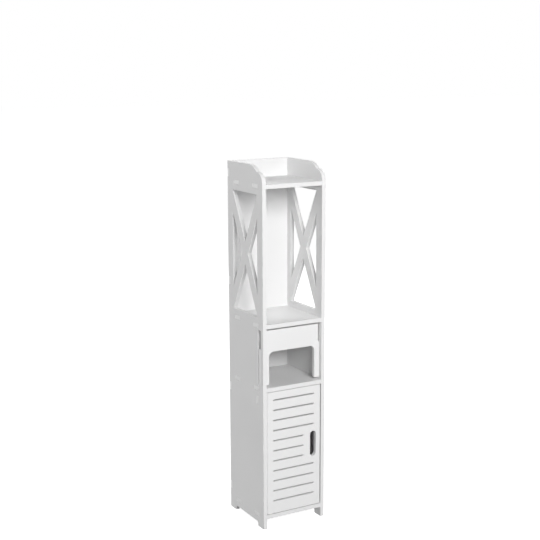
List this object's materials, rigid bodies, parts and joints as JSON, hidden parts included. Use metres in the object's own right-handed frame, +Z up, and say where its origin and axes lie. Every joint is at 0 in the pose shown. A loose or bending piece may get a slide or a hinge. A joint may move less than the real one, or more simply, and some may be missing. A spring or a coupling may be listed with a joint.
{
  "type": "toilet roll storage cabinet",
  "caption": "Slim white bathroom cabinet: louvred door over spare rolls, bay that dispenses a roll, open bay with crossed side windows, and a top tray.",
  "frame": {"origin": "middle of the footprint, on the floor", "axes": "+X to the right, +Y to the back and +Z up, seen from the front"},
  "size_m": [0.155, 0.155, 0.797],
  "materials": {
    "white_foam_board": "satin foamed PVC board with square sawn edges",
    "zinc_plated_steel": "bright zinc",
    "white_nylon": "moulded, matt",
    "ferrite": "sintered, dark grey"
  },
  "bodies": {
    "cabinet": {"left_side_panel": "white_foam_board", "right_side_panel": "white_foam_board", "back_panel": "white_foam_board", "top_shelf": "white_foam_board", "book_shelf": "white_foam_board", "roll_shelf": "white_foam_board", "bottom_shelf": "white_foam_board", "door_stop_rail": "white_foam_board", "pivot_washer": "white_nylon", "catch_housing": "white_nylon", "catch_magnet": "ferrite", "catch_pole_plates": "zinc_plated_steel", "catch_screws": "zinc_plated_steel"},
    "door": {"door_panel": "white_foam_board", "upper_pivot_pin": "zinc_plated_steel", "lower_pivot_pin": "zinc_plated_steel", "strike_plate": "zinc_plated_steel", "strike_screw": "zinc_plated_steel"},
    "cover": {"roll_cover": "white_foam_board"}
  },
  "joints": [
    {"name": "door_hinge", "type": "hinge", "parent": "cabinet", "child": "door", "pos_m": [-0.0585, -0.073, 0.17], "axis": [0, 0, -1], "range_deg": [0, 125]},
    {"name": "cover_slide", "type": "slide", "parent": "cabinet", "child": "cover", "axis": [-1, 0, 0], "range_m": [-0.145, 0.145]}
  ]
}
